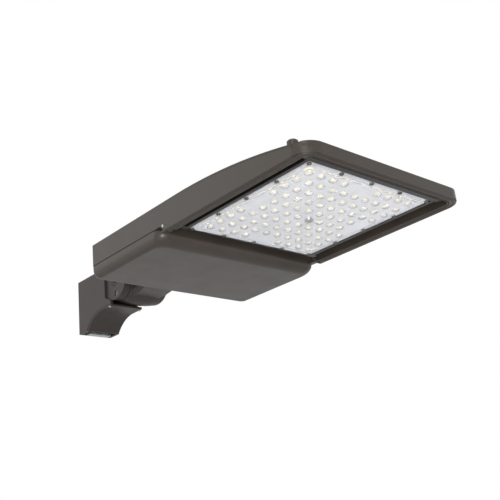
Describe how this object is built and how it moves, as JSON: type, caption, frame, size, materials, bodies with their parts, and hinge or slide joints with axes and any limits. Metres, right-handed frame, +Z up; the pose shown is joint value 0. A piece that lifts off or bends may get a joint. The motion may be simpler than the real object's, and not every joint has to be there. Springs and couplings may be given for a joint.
{
  "type": "shoebox area light",
  "caption": "Pole-mounted outdoor LED area light: shallow finned housing, square lens plate, drop-down driver door and tilting knuckle bracket.",
  "frame": {"origin": "centre of the pole bracket's mounting face, between its two bolt holes", "axes": "+X from the pole to the nose, +Y across the light, +Z up"},
  "size_m": [0.7205, 0.3124, 0.1075],
  "materials": {
    "bronze_coat": "textured satin powder coat, dark bronze",
    "frame_coat": "satin powder coat, darker bronze",
    "galvanised": "zinc plated, satin",
    "stainless": "passivated stainless steel",
    "black_rubber": "moulded silicone, matt",
    "clear_optic": "clear moulded optic, gloss",
    "board_white": "white solder mask",
    "led_phosphor": "yellow phosphor under clear resin",
    "thermal_grey": "soft thermal sheet",
    "driver_case": "plain formed aluminium",
    "black_plastic": "moulded nylon"
  },
  "bodies": {
    "bracket": {"pole_gasket": "black_rubber", "bracket_casting": "bronze_coat", "pole_plate": "galvanised", "bracket_cover": "bronze_coat", "cover_screws": "stainless", "pivot_bolt": "stainless", "pivot_nut": "stainless", "pivot_washer": "stainless", "friction_ring": "black_plastic", "tilt_lock_screw": "stainless"},
    "head": {"knuckle_arm": "bronze_coat", "arm_gasket": "black_rubber", "arm_bolts": "stainless", "main_housing": "bronze_coat", "boss_plug": "bronze_coat", "hinge_pins": "stainless", "lens_frame": "frame_coat", "thermal_pad": "thermal_grey", "led_board": "board_white", "led_packages": "led_phosphor", "lens_gasket": "black_rubber", "lens_plate": "clear_optic", "lens_screws": "stainless", "centre_screw": "stainless", "led_driver": "driver_case", "driver_screws": "stainless", "surge_protector": "black_plastic", "terminal_block": "black_plastic", "wire_bushing": "black_rubber", "led_grommet": "black_rubber", "breather_vent": "black_plastic"},
    "door": {"driver_door": "bronze_coat", "door_gasket": "black_rubber", "door_screw_clips": "stainless"},
    "left_screw": {"door_screw_left": "stainless"},
    "right_screw": {"door_screw_right": "stainless"}
  },
  "joints": [
    {"name": "tilt", "type": "hinge", "parent": "bracket", "child": "head", "pos_m": [0.12, 0, 0.018], "axis": [0, -1, 0], "range_deg": [-10, 45]},
    {"name": "door_swing", "type": "hinge", "parent": "head", "child": "door", "pos_m": [0.44, 0, -0.019], "axis": [0, -1, 0], "range_deg": [0, 85]},
    {"name": "left_screw_turn", "type": "hinge", "parent": "door", "child": "left_screw", "pos_m": [0.25, -0.095, -0.027], "axis": [-1, 0, 0], "continuous": true},
    {"name": "right_screw_turn", "type": "hinge", "parent": "door", "child": "right_screw", "pos_m": [0.25, 0.095, -0.027], "axis": [-1, 0, 0], "continuous": true}
  ]
}
